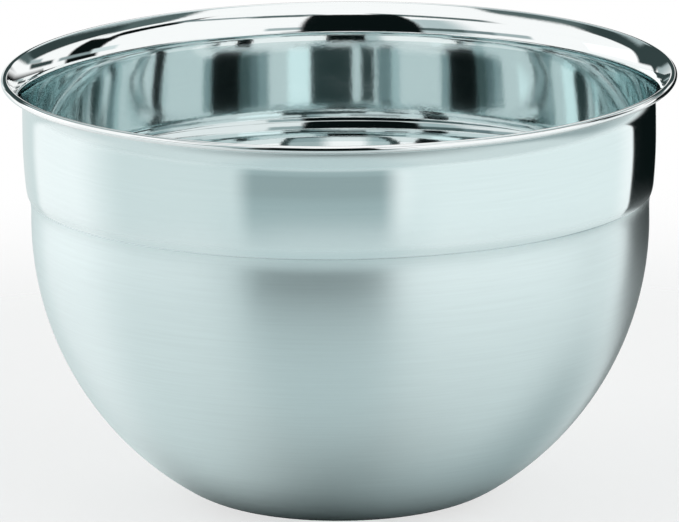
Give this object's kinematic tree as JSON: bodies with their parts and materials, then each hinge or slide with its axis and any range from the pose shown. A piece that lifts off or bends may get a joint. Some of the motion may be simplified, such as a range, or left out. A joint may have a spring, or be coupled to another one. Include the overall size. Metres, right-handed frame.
{
  "type": "mixing bowl",
  "caption": "Deep stainless-steel mixing bowl with a flared pouring rim, a rolled edge, an upright band over a drawn step and a rounded body on a flat base.",
  "frame": {"origin": "centre of the underside of the flat base, on the surface that the bowl stands on", "axes": "+Z is the bowl's axis and points up out of the mouth; the bowl is round, so +X and +Y are free, and -Y is the side seen in the picture"},
  "size_m": [0.2577, 0.2578, 0.165],
  "materials": {
    "steel": "satin brushed round the outside, mirror polished inside and on the rim"
  },
  "bodies": {
    "root": {"bowl_shell": "steel"}
  },
  "joints": []
}
